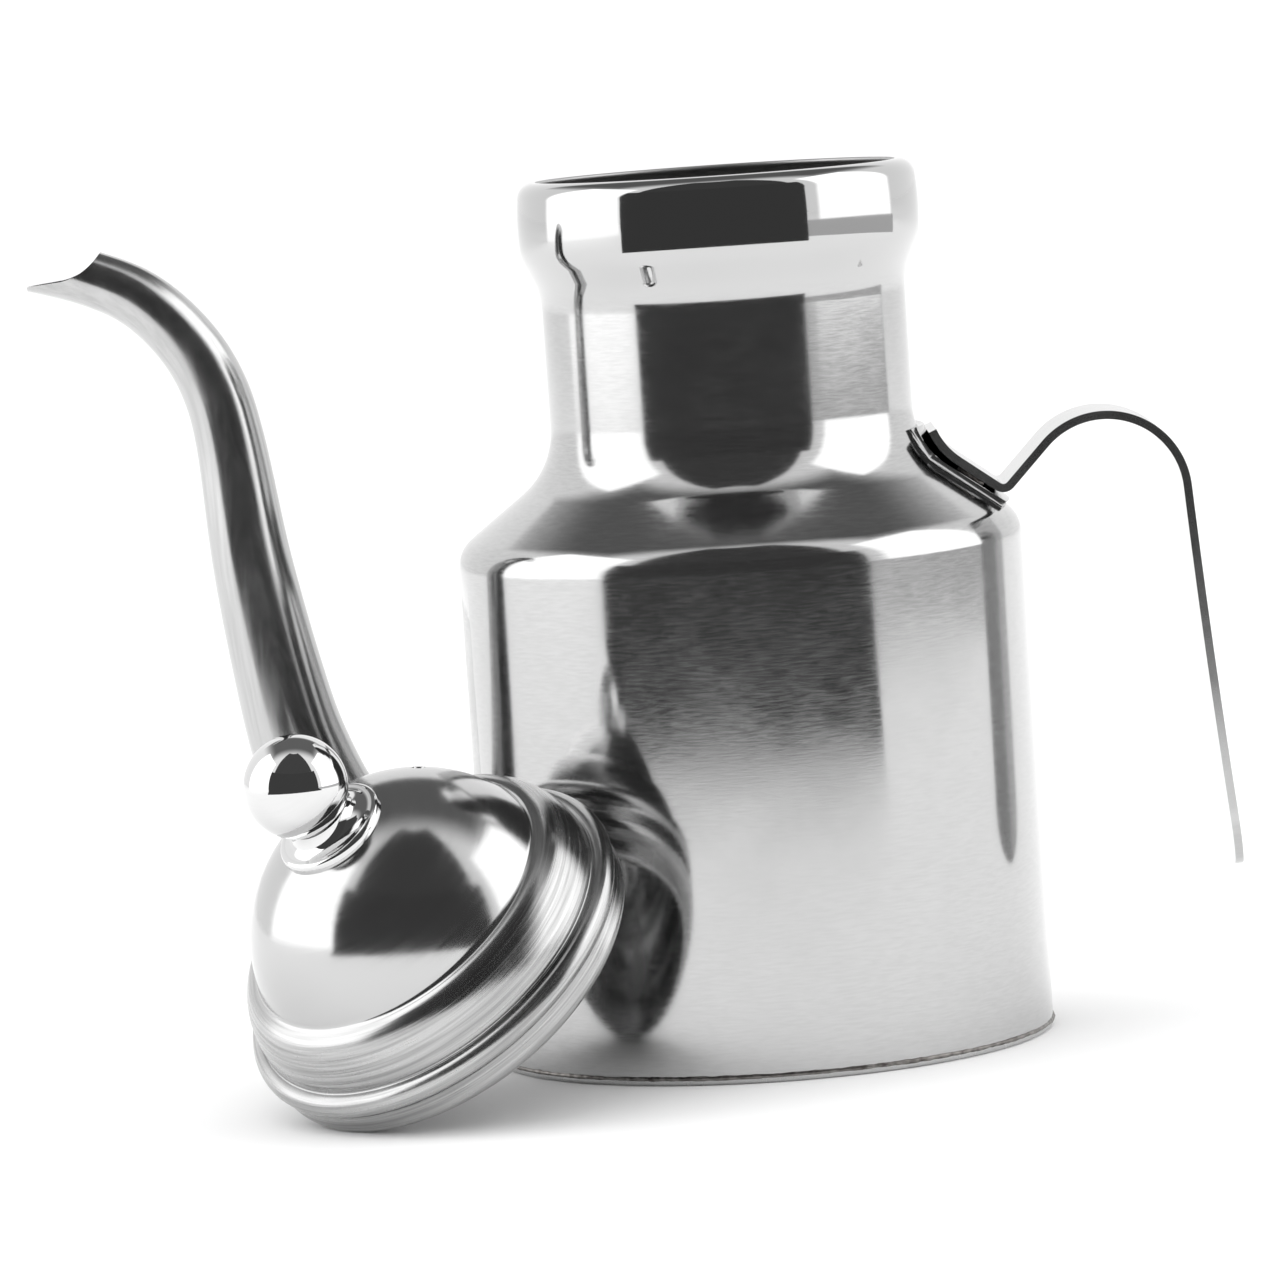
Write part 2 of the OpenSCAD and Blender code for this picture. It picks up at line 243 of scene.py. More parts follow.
def only(obj):
    """Makes obj the one selected and active object."""
    bpy.ops.object.select_all(action="DESELECT")
    obj.select_set(True)
    bpy.context.view_layer.objects.active = obj


def first_point(place):
    """A new mesh in edit mode, with one selected vertex at the place."""
    bpy.ops.object.select_all(action="DESELECT")
    bpy.ops.mesh.primitive_plane_add(size=MM, location=place)
    bpy.ops.object.transform_apply(location=True, rotation=True, scale=True)
    edit()
    bpy.ops.mesh.select_all(action="SELECT")
    bpy.ops.mesh.merge(type="COLLAPSE")


def pull(step):
    bpy.ops.mesh.extrude_region_move(TRANSFORM_OT_translate={"value": step})


def draw_outline(points):
    """Pulls one vertex along (x, z) points; all of it ends up selected."""
    first_point((points[0][0], 0, points[0][1]))
    for a, b in zip(points, points[1:]):
        pull((b[0] - a[0], 0, b[1] - a[1]))
    bpy.ops.mesh.select_all(action="SELECT")


def tidy_mesh(sharpest=40):
    """Joins doubled points, turns the faces outwards and shades them."""
    edit()
    bpy.ops.mesh.select_all(action="SELECT")
    bpy.ops.mesh.remove_doubles(threshold=0.002 * MM)
    bpy.ops.mesh.normals_make_consistent(inside=False)
    edit("OBJECT")
    bpy.ops.object.shade_smooth_by_angle(angle=math.radians(sharpest))


def turned(name, outline, steps=ROUND_STEPS):
    """A piece turned about Z from an outline that is closed or ends on the axis."""
    draw_outline(eased(outline))
    bpy.ops.mesh.spin(steps=steps, angle=math.tau, center=(0, 0, 0), axis=Z_AXIS)
    edit("OBJECT")
    obj = named(name)
    tidy_mesh()
    return obj


def prism(name, outline, width):
    """A closed (x, z) outline filled and pulled to a width, centred on y = 0."""
    draw_outline(outline)
    bpy.ops.mesh.edge_face_add()
    bpy.ops.transform.translate(value=(0, -width / 2, 0))
    pull((0, width, 0))
    edit("OBJECT")
    obj = named(name)
    tidy_mesh()
    return obj


def round_bar(name, r, start, end, sides=128):
    """A round bar from one point to another."""
    line = Vector(end) - Vector(start)
    bpy.ops.object.select_all(action="DESELECT")
    bpy.ops.mesh.primitive_cylinder_add(vertices=sides, radius=r, depth=line.length,
                                        location=(Vector(start) + Vector(end)) / 2,
                                        rotation=line.to_track_quat("Z", "Y").to_euler())
    bpy.ops.object.transform_apply(location=True, rotation=True, scale=True)
    return named(name)


def finish_with(obj, kind, **values):
    """Adds a modifier with its values and applies it."""
    only(obj)
    modifier = obj.modifiers.new(kind.title(), kind)
    for key, value in values.items():
        setattr(modifier, key, value)
    bpy.ops.object.modifier_apply(modifier=modifier.name)


def cut(obj, tool, operation="DIFFERENCE"):
    """Cuts obj with a tool piece, which is used up."""
    finish_with(obj, "BOOLEAN", object=tool, operation=operation, solver="EXACT")
    bpy.data.objects.remove(tool)
    only(obj)


def weld_ripples(obj, voxel, depth, size):
    """Gives a rough solid the soft, uneven surface of a weld bead."""
    finish_with(obj, "REMESH", mode="VOXEL", voxel_size=voxel)
    finish_with(obj, "SMOOTH", factor=0.5, iterations=6)
    clouds = bpy.data.textures.new(obj.name + "_ripples", "CLOUDS")
    clouds.noise_scale = size
    finish_with(obj, "DISPLACE", texture=clouds, texture_coords="LOCAL", strength=depth, mid_level=0.5)
    tidy_mesh(60)


def place(obj, body, material, replaced=(), slot=None):
    """Puts the finished piece on its CAD body, in place of the nodes that it stands for."""
    obj.data.materials.clear()
    obj.data.materials.append(material)
    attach(obj, body)
    if replaced:
        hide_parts(*replaced)


# Materials ----------------------------------------------------------------------------------

SMEAR = 14 * MM             # size of the wide smears that polishing leaves
WANDER = (0.7, 1.3)         # what the grain and the smears add up to, from the glossiest to the dullest
STREAK_SHADE_AT = (0.62, 0.36)    # the grain's value at the top and at the bottom of a line
# Painted shade along the grain: the base colour darkens from the first of these values to the second.
SCORCH_AT = (0.4, 0.65)     # where the heat tint starts and where it is full


def add(tree, kind, links=(), values=(), **attributes):
    """A node with its attributes, its input values and the links into it."""
    made = tree.nodes.new(kind)
    for key, value in attributes.items():
        setattr(made, key, value)
    for key, value in dict(values).items():
        made.inputs[key].default_value = value
    for key, source in dict(links).items():
        tree.links.new(source, made.inputs[key])
    return made


def new_material(name):
    material = bpy.data.materials.new(name)
    material.use_nodes = True
    material.node_tree.nodes.clear()
    return material, material.node_tree


def remap(tree, value, start, end, to_start, to_end, kind="LINEAR"):
    """The value carried over from one range to another."""
    return add(tree, "ShaderNodeMapRange", {"Value": value},
               {"From Min": start, "From Max": end, "To Min": to_start, "To Max": to_end},
               interpolation_type=kind).outputs[0]


def metal(name, colour, roughness, spread, grain, grain_depth, stretch, at=(0, 0, 0), turn=(0, 0, 0),
          by_height=None, tint=None, groove=0.92):
    """A bare metal. Roughness wanders by `spread`; `grain` is the line spacing of its grinding, in
    metres, and `stretch` how much longer than wide the lines are along local X, Y and Z; the
    base colour is darker towards the bottoms of the lines by the factor `groove`, a painted shade
    that stands in for the streaky reflections of the grain. Where by_height is given as (z0, z1,
    roughness, share of the grain that is left), the finish goes over to that between the two
    heights, and the painted shade fades out there. A tint is (colour, size of its blotches)."""
    material, tree = new_material(name)
    place_in = add(tree, "ShaderNodeTexCoord").outputs["Object"]
    own = add(tree, "ShaderNodeMapping", {"Vector": place_in}, {"Location": at, "Rotation": turn},
              vector_type="TEXTURE").outputs["Vector"]
    lines_at = add(tree, "ShaderNodeVectorMath", {0: own}, {1: [1 / share for share in stretch]},
                   operation="MULTIPLY").outputs["Vector"]
    lines = add(tree, "ShaderNodeTexNoise", {"Vector": lines_at},
                {"Scale": 1 / grain, "Detail": 3, "Roughness": 0.7}).outputs["Fac"]
    smears = add(tree, "ShaderNodeTexNoise", {"Vector": own},
                 {"Scale": 1 / SMEAR, "Detail": 4, "Roughness": 0.62}).outputs["Fac"]
    wander = add(tree, "ShaderNodeMath", {0: lines, 1: smears}, operation="ADD").outputs[0]
    rough = remap(tree, wander, *WANDER, roughness - spread, roughness + spread)
    # Painted shade: the colour darkens along the grain's lines, in place of their streaky reflections.
    shade = remap(tree, lines, *STREAK_SHADE_AT, 1, groove)
    bump = add(tree, "ShaderNodeBump", {"Height": lines}, {"Strength": 1.0, "Distance": grain_depth})
    if by_height:
        low, high, upper_rough, left = by_height
        z = add(tree, "ShaderNodeSeparateXYZ", {"Vector": own}).outputs["Z"]
        share = remap(tree, z, low, high, 0, 1, "SMOOTHSTEP")
        upper = remap(tree, wander, *WANDER, upper_rough * 0.7, upper_rough * 1.3)
        rough = add(tree, "ShaderNodeMix", {"Factor": share, "A": rough, "B": upper}).outputs["Result"]
        # Above the upper height the painted shade fades out.
        shade = add(tree, "ShaderNodeMix", {"Factor": share, "A": shade}, {"B": 1.0}).outputs["Result"]
        tree.links.new(remap(tree, share, 0, 1, 1, left), bump.inputs["Strength"])
    shaded = add(tree, "ShaderNodeVectorMath", {"Scale": shade}, {0: colour}, operation="SCALE")
    if tint:
        scorch, size = tint
        spots = add(tree, "ShaderNodeTexNoise", {"Vector": own}, {"Scale": 1 / size, "Detail": 3})
        share = remap(tree, spots.outputs["Fac"], *SCORCH_AT, 0, 1)
        mix = add(tree, "ShaderNodeMix", {"Factor": share}, data_type="RGBA")
        mix.inputs["A"].default_value = (*colour, 1)
        mix.inputs["B"].default_value = (*scorch, 1)
        tree.links.new(mix.outputs["Result"], shaded.inputs[0])
    shader = add(tree, "ShaderNodeBsdfPrincipled",
                 {"Base Color": shaded.outputs["Vector"], "Roughness": rough,
                  "Normal": bump.outputs["Normal"]},
                 {"Metallic": 1.0})
    add(tree, "ShaderNodeOutputMaterial", {"Surface": shader.outputs[0]})
    return material


# Pieces -------------------------------------------------------------------------------------

class KETTLE_OT_body(bpy.types.Operator):
    """Turns the kettle's body from one outline and pierces it for the spout"""
    bl_idname = "kettle.body"
    bl_label = "Body"

    def execute(self, context):
        b, s, spout = Body(), settings("kettle_body"), settings("kettle_spout")
        outer = [(b.r, s.base_t)] + arc(b.bend, s.shoulder_r, 0, math.radians(90) - b.slope, 20)
        outer += b.hollow_bend(steps=32) + [(b.neck_r, b.neck_top), (b.collar_r, b.collar_z)]
        flare_at = len(outer) - 2
        band_h = s.collar_h - s.rim_r
        band = [i / 12 - 1 for i in range(5, 25)]
        outer += [(b.collar_r + s.collar_bulge * (1 - a * a), b.collar_z + band_h * (a + 1) / 2)
                  for a in band]
        outer = softened(outer, flare_at + 1, 1.6 * MM)
        outer = softened(outer, flare_at, 2.6 * MM)
        outer += arc((b.collar_r - s.rim_r, b.rim_z - s.rim_r), s.rim_r, 0, math.radians(90), 18)[1:]
        edge_r = s.sheet / 2
        lip = arc((b.mouth_r + edge_r, b.rim_z - edge_r), edge_r, math.radians(90), math.radians(270), 12)
        inner = beside(outer, s.sheet)
        inner[0] = (b.r - s.sheet, s.base_t)
        outline = outer + lip + inner[::-1] + [outer[0]]
        obj = turned("body_of_kettle", outline)
        bore = spout.root_d / 2 - spout.wall
        start = Vector((-b.r, 0, spout.root_z))
        out = Vector((-math.cos(spout.rise), 0, math.sin(spout.rise)))
        cut(obj, round_bar("bore", bore, start - out * 12 * MM, start + out * 8 * MM))
        obj.data.shade_smooth()
        finish = settings("kettle_finish")
        # Stainless sheet, spun, ground with a belt around the wall and buffed towards the rim: the
        # wall blurs what it mirrors up and down, and the collar shows it sharp. The real grain is
        # 0.05 mm apart; it is drawn at 0.35 mm so that it shows.
        # The colour is darkened a little along the grain's lines as painted shade, and not on the buffed
        # collar.
        steel = metal("stainless_spun_satin_to_mirror", finish.satin, 0.12, 0.04, 0.35 * MM, 0.0014 * MM,
                      (9, 9, 1), by_height=(b.neck_top - 3 * MM, b.neck_top + 2 * MM, 0.05, 0.1), groove=0.91)
        place(obj, "kettle", steel, ["body_shell"], "satin_wall")
        # Inside, the sheet keeps the dull face that the spinning tool left.
        dull = metal("stainless_spun_inside", finish.satin, 0.5, 0.08, 0.6 * MM, 0.004 * MM, (40, 40, 1))
        obj.data.materials.append(dull)
        for face in obj.data.polygons:
            if face.normal.xy.dot(face.center.xy) < 0:
                face.material_index = 1
        return {"FINISHED"}


def spout_line():
    """The spout's centre line as (distance from the axis, height, outer radius): a smooth curve
    through marks that give the distance out from the wall in millimetres."""
    b, s = Body(), settings("kettle_spout")
    top, z, r, tip = b.rim_z - s.drop, s.root_z, s.root_d / 2, s.tip_d / 2
    rise = math.tan(s.rise)
    straight = [(-10, z - 10 * MM * rise, r), (0, z, r), (4, z + 4 * MM * rise, r - 0.1 * MM)]
    sweep = [(9.5, z + 3.3 * MM, r * 0.92), (17, z + 8.5 * MM, r * 0.81), (24, z + 17.5 * MM, r * 0.72),
             (28.4, z + 29 * MM, r * 0.645), (31.2, z + 41 * MM, r * 0.59)]
    middle = [(34.6, (z + 9 * MM + top) / 2, (r * 0.59 + tip * 1.24) / 2)]
    neck = [(36.8, top - 32 * MM, tip * 1.24), (39.1, top - 22 * MM, tip * 1.18),
            (43.4, top - 14 * MM, tip * 1.12), (50.2, top - 7 * MM, tip * 1.06),
            (59, top - 2.6 * MM, tip), (70.5, top + 1 * MM, tip)]
    marks = straight + sweep + middle + neck
    points = [Vector((b.r + out * MM, up, radius)) for out, up, radius in marks]
    line, steps = [], 8
    for i in range(len(points) - 1):
        p0, p1, p2, p3 = (points[min(max(i + k, 0), len(points) - 1)] for k in (-1, 0, 1, 2))
        for k in range(steps):
            t = k / steps
            line.append(0.5 * (2 * p1 + (p2 - p0) * t + (2 * p0 - 5 * p1 + 4 * p2 - p3) * t ** 2
                               + (3 * p1 - p0 - 3 * p2 + p3) * t ** 3))
    return line + [points[-1]]


class KETTLE_OT_spout(bpy.types.Operator):
    """Draws the gooseneck ring by ring, cuts its lip and welds its root"""
    bl_idname = "kettle.spout"
    bl_label = "Spout"

    def execute(self, context):
        b, s = Body(), settings("kettle_spout")
        line = spout_line()
        slopes = []
        for i in range(len(line)):
            ahead = line[min(i + 1, len(line) - 1)] - line[max(i - 1, 0)]
            slopes.append(math.atan2(ahead.y, ahead.x))
        bpy.ops.object.select_all(action="DESELECT")
        bpy.ops.mesh.primitive_circle_add(vertices=72, radius=line[0].z, fill_type="NOTHING",
                                          location=(-line[0].x, 0, line[0].y),
                                          rotation=(0, slopes[0] - math.radians(90), 0))
        bpy.ops.object.transform_apply(location=True, rotation=True, scale=True)
        edit()
        bpy.ops.mesh.select_all(action="SELECT")
        for i in range(1, len(line)):
            p, q = line[i - 1], line[i]
            centre = (-q.x, 0, q.y)
            pull((p.x - q.x, 0, q.y - p.y))
            taper = q.z / p.z
            bpy.ops.transform.resize(value=(taper, taper, taper), center_override=centre)
            bpy.ops.transform.rotate(value=slopes[i - 1] - slopes[i], orient_axis="Y", center_override=centre)
        edit("OBJECT")
        obj = named("gooseneck_spout")
        tidy_mesh()
        finish_with(obj, "SOLIDIFY", thickness=s.wall, offset=-1)
        cut(obj, round_bar("trim", b.r, (0, 0, -MM), (0, 0, b.rim_z), ROUND_STEPS))
        top = b.rim_z - s.drop
        # The lip is cut as a hollow that leaves a long lower beak.
        lip, beak, hollow_r, clear = b.r + 55.3 * MM, b.r + 68.8 * MM, 10.5 * MM, 10 * MM
        centre = (-lip - hollow_r + 0.9 * MM, top + hollow_r - 3.2 * MM)
        outline = [(-lip + 6 * MM, top + clear), (-lip + 0.7 * MM, top + 2 * MM)]
        outline += arc(centre, hollow_r, math.radians(-18), math.radians(-80), 24)
        outline += [(-beak, top - 3.6 * MM), (-beak, top - clear), (-beak - clear, top - clear),
                    (-beak - clear, top + clear)]
        cut(obj, prism("lip_tool", outline, s.tip_d + 2 * MM))
        finish_with(obj, "BEVEL", width=0.12 * MM, segments=2, limit_method="ANGLE",
                    angle_limit=math.radians(50))
        tidy_mesh(50)
        finish = settings("kettle_finish")
        # Stainless tube, drawn and buffed by hand: bright but blurred, with faint marks along its length,
        # whose darker streaks are painted shade.
        steel = metal("stainless_tube_buffed", finish.steel, 0.2, 0.05, 0.5 * MM, 0.003 * MM, (6, 1, 40),
                      groove=0.86)
        place(obj, "kettle", steel, ["spout"], "polished_steel")

        root = Vector((-b.r, 0, s.root_z))
        out = Vector((-math.cos(s.rise), 0, math.sin(s.rise)))
        bead, sunk = 1.1 * MM, 0.3 * MM
        seam_r = s.root_d / 2 + bead
        seam = round_bar("spout_weld_bead", seam_r, root - out * 10 * MM, root + out * 6 * MM)
        cut(seam, round_bar("reach", b.r + bead, (0, 0, -MM), (0, 0, b.rim_z), ROUND_STEPS), "INTERSECT")
        cut(seam, round_bar("wall", b.r - sunk, (0, 0, -2 * MM), (0, 0, b.rim_z + MM), ROUND_STEPS))
        cut(seam, round_bar("tube", s.root_d / 2 - sunk, root - out * 14 * MM, root + out * 9 * MM))
        weld_ripples(seam, 0.22 * MM, 0.35 * MM, 1.6 * MM)
        place(seam, "kettle", bpy.data.materials["weld_bead_brushed"], ["spout_weld"], "weld")
        return {"FINISHED"}


class KETTLE_OT_handle(bpy.types.Operator):
    """Bends the strap handle, and lays it on its saddle with a weld tack at each edge"""
    bl_idname = "kettle.handle"
    bl_label = "Handle"

    def execute(self, context):
        b, s = Body(), settings("kettle_handle")
        slope, rise, bend_r, rise_l = b.slope, math.radians(46), 1.6 * MM, 8.9 * MM
        middle = s.plate_t + s.strap_t / 2
        foot_x = b.low[0] - 1.6 * MM
        foot_z = b.low[1] + (b.low[0] - foot_x) * math.tan(slope) + middle / math.cos(slope)
        right = math.radians(90)
        bend_c = (foot_x + bend_r * math.sin(slope), foot_z + bend_r * math.cos(slope))
        bend = arc(bend_c, bend_r, -right - slope, -right + rise, 14)
        rise_end = (bend[-1][0] + rise_l * math.cos(rise), bend[-1][1] + rise_l * math.sin(rise))
        crest_c = (rise_end[0] + s.crest_r * math.sin(rise), rise_end[1] - s.crest_r * math.cos(rise))
        crest = arc(crest_c, s.crest_r, right + rise, s.grip_lean, 56)
        tail_l, tail_lean = 32 * MM, s.grip_lean + math.radians(2.2)
        knee = (crest[-1][0] + (s.grip_l - tail_l) * math.sin(s.grip_lean),
                crest[-1][1] - (s.grip_l - tail_l) * math.cos(s.grip_lean))
        end = (knee[0] + tail_l * math.sin(tail_lean), knee[1] - tail_l * math.cos(tail_lean))
        half = s.strap_w / 2
        line = b.hollow_bend(middle, 0.6, 12)[::-1] + bend + crest
        widths = [1.0] * len(line)
        before = crest[-1]
        for i in range(1, 13):                  # the grip, with the slight bow of a hand-bent strap
            t = i / 12
            line.append((before[0] * (1 - t) ** 2 + knee[0] * 2 * t * (1 - t) + end[0] * t ** 2,
                         before[1] * (1 - t) ** 2 + knee[1] * 2 * t * (1 - t) + end[1] * t ** 2))
            widths.append(1.0)
        straight = Vector(line[-1]) - Vector(line[-2])
        tail_start = Vector(line[-1]) - straight.normalized() * half
        while len(line) > 2 and (Vector(line[-1]) - Vector(end)).length < half:
            line.pop()
            widths.pop()
        line.append(tuple(tail_start))
        widths.append(1.0)
        for i in range(1, 25):                  # the half-round end
            a = right * i / 24
            line.append(tuple(tail_start + straight.normalized() * half * math.sin(a)))
            widths.append(max(math.cos(a), 0.02))
        # The strap's cross line, as shares of half its width, with points close to both edges
        cross = (0.03, 0.94, 0.97, 0.03, 0.03)
        corner = (line[0][0], -half, line[0][1])
        first_point(corner)
        for step in cross:
            pull((0, step * half, 0))
        bpy.ops.mesh.select_all(action="SELECT")
        bpy.ops.transform.resize(value=(1, 2 / sum(cross), 1), center_override=corner)
        for i in range(1, len(line)):
            p, q = line[i - 1], line[i]
            pull((q[0] - p[0], 0, q[1] - p[1]))
            narrowed = widths[i] / widths[i - 1]
            bpy.ops.transform.resize(value=(1, narrowed, 1), center_override=(q[0], 0, q[1]))
        edit("OBJECT")
        obj = named("strap_handle")
        tidy_mesh()
        finish_with(obj, "SOLIDIFY", thickness=s.strap_t, offset=0, use_even_offset=True)
        finish_with(obj, "BEVEL", width=0.6 * MM, segments=5, limit_method="ANGLE",
                    angle_limit=math.radians(60), harden_normals=True)
        finish = settings("kettle_finish")
        # Stainless flat bar, ground along its length and buffed: bright images, drawn out a little.
        bar = metal("stainless_strap_buffed", finish.steel, 0.13, 0.03, 0.4 * MM, 0.0015 * MM, (40, 1, 40))
        place(obj, "kettle", bar, ["strap"], "polished_steel")

        lift = 0.02 * MM
        under = [(x, z + lift) for x, z in [b.low] + b.hollow_bend(0, 0.7, 14)]
        over = b.hollow_bend(s.plate_t, 0.7, 14)
        over = [(b.low[0] + s.plate_t * math.sin(slope), b.low[1] + s.plate_t * math.cos(slope))] + over
        saddle = turned("saddle_plate", under + over[::-1] + [under[0]])
        edit()
        sides = [((0, half, 0), (0, 1, 0)), ((0, -half, 0), (0, -1, 0)),
                 ((b.neck_r - 4 * MM, 0, 0), (-1, 0, 0)), ((0, 0, b.low[1] + 0.2 * MM), (0, 0, -1))]
        for place_on, facing in sides:
            bpy.ops.mesh.select_all(action="SELECT")
            bpy.ops.mesh.bisect(plane_co=place_on, plane_no=facing, use_fill=True, clear_outer=True)
        edit("OBJECT")
        finish_with(saddle, "BEVEL", width=0.2 * MM, segments=2, limit_method="ANGLE",
                    angle_limit=math.radians(60))
        tidy_mesh(35)
        place(saddle, "kettle", bar, ["strap_plate"], "polished_steel")

        for side in ("front", "back"):
            node = "strap_tack_" + side
            lo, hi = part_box(node)
            bpy.ops.object.select_all(action="DESELECT")
            bpy.ops.mesh.primitive_uv_sphere_add(segments=32, ring_count=16, radius=MM,
                                                 location=(lo + hi) / 2, rotation=(0, slope, 0),
                                                 scale=(2.7, 0.9, 0.85))
            bpy.ops.object.transform_apply(location=True, rotation=True, scale=True)
            tack = named("weld_tack_" + side)
            weld_ripples(tack, 0.12 * MM, 0.3 * MM, 0.9 * MM)
            place(tack, "kettle", bpy.data.materials["weld_bead_brushed"], [node], "weld")
        return {"FINISHED"}


def lid_frame():
    """The matrix that lays the lid's own frame where the lid leans."""
    b, s = Body(), settings("kettle_lid")
    lid_r, foot_r, rest_gap = b.collar_r + s.proud, 2.5 * MM, 0.3 * MM
    out = b.r + rest_gap + (lid_r - foot_r) * math.cos(s.lean_tilt) - foot_r * math.sin(s.lean_tilt) + foot_r
    up = (lid_r - foot_r) * math.sin(s.lean_tilt) - foot_r * math.cos(s.lean_tilt) + foot_r
    return (Matrix.Rotation(s.lean_side, 4, "Z") @ Matrix.Translation((out, 0, up))
            @ Matrix.Rotation(s.lean_tilt, 4, "Y"))


def lay_down(obj):
    """Moves a piece made upright to where the lid leans, and applies the move."""
    only(obj)
    obj.matrix_world = lid_frame()
    bpy.ops.object.transform_apply(location=True, rotation=True, scale=True)


class Lid:
    """Heights and radii that follow from the lid's sizes, in its own frame with its foot at z = 0."""

    def __init__(self):
        b, s = Body(), settings("kettle_lid")
        self.s, self.r, self.foot_r = s, b.collar_r + s.proud, 2.5 * MM
        self.bead_r = 2.1 * MM
        self.bead = (self.r - 1.2 * MM, 4.8 * MM + self.bead_r)
        self.shelf_z = self.bead[1] + self.bead_r
        self.dome_foot = self.bead[0] - 0.6 * MM - s.shelf_w
        self.dome_z = self.shelf_z + s.shelf_h
        self.dome_r = (self.dome_foot ** 2 + s.dome_h ** 2) / (2 * s.dome_h)
        self.dome_c = self.dome_z + s.dome_h - self.dome_r
        self.screw_r = 2 * MM
        self.ball_r = s.ball_d / 2
        self.ball_z = self.dome_z + s.dome_h + self.ball_r + 0.8 * MM
        self.plug_r = b.mouth_r - s.plug_play

    def on_dome(self, x):
        return self.dome_c + math.sqrt(self.dome_r ** 2 - x ** 2)


VENT_AT = (math.radians(44), math.radians(176))     # the steam hole: down from the top, and around


class KETTLE_OT_lid(bpy.types.Operator):
    """Turns the lid with its bands and dome, its centring ring and its steam hole"""
    bl_idname = "kettle.lid"
    bl_label = "Lid"

    def execute(self, context):
        d, s, sheet = Lid(), settings("kettle_lid"), settings("kettle_body").sheet
        rad = math.radians
        outer = arc((d.r - d.foot_r, d.foot_r), d.foot_r, rad(-90), 0, 12)
        groove = len(outer) + 1
        outer += arc(d.bead, d.bead_r, rad(-55), rad(100), 24)
        outer = softened(outer, groove - 1, 0.35 * MM, 4)
        step = len(outer)
        quarter = [rad(i * 3) for i in range(31)]
        outer += [(d.dome_foot + s.shelf_w * math.cos(a), d.shelf_z + s.shelf_h * math.sin(a))
                  for a in quarter]
        outer = softened(outer, step, 0.3 * MM, 4)
        valley = len(outer)
        start = math.acos(d.dome_foot / d.dome_r)
        outer += arc((0, d.dome_c), d.dome_r, start, math.acos(d.screw_r / d.dome_r), 72)
        fillet = softened([outer[valley - 4], outer[valley], outer[valley + 2]], 1, 0.8 * MM, 8)[1:-1]
        outer = outer[:valley - 3] + fillet + outer[valley + 2:]
        inner = beside(outer, sheet)
        inner[0] = (d.r - d.foot_r, sheet)
        inner[-1] = (d.screw_r, inner[-1][1])
        outline = [(d.plug_r, 0)] + outer + inner[::-1] + [(d.plug_r, sheet), (d.plug_r, 0)]
        obj = turned("domed_lid", outline)
        down, around = VENT_AT
        aim = Vector((math.sin(down) * math.cos(around), math.sin(down) * math.sin(around), math.cos(down)))
        base = Vector((0, 0, d.dome_c))
        start, end = base + aim * (d.dome_r - 3 * sheet), base + aim * (d.dome_r + 2 * sheet)
        cut(obj, round_bar("vent", s.vent_d / 2, start, end, 32))
        obj.data.shade_smooth()
        lay_down(obj)
        move = lid_frame()
        finish = settings("kettle_finish")
        # Stainless sheet, spun on a lathe: the bands keep the circular marks of the grinding belt,
        #         # and the dome is buffed until it mirrors with a slight haze. The marks are drawn 0.7 mm
        #         apart,
        #         # with finer ones between them, and the bands' colour is darkened along them as painted
        #         shade.
        steel = metal("stainless_spun_lid", finish.satin, 0.24, 0.1, 0.7 * MM, 0.03 * MM, (60, 60, 1),
                      at=move.translation, turn=move.to_euler(),
                      by_height=(d.dome_z - 1.5 * MM, d.dome_z + 1.5 * MM, 0.15, 0.12), groove=0.6)
        place(obj, "lid", steel, ["lid_shell"], "polished_steel")

        inside, chamfer, ring_top = d.plug_r - sheet, 0.3 * MM, 4 * MM
        ring = [(inside, -s.plug_depth), (d.plug_r - chamfer, -s.plug_depth),
                (d.plug_r, chamfer - s.plug_depth), (d.plug_r, ring_top),
                (inside, ring_top), (inside, -s.plug_depth)]
        plug = turned("centring_ring", ring)
        lay_down(plug)
        place(plug, "lid", steel, ["lid_plug"], "satin_wall")
        return {"FINISHED"}


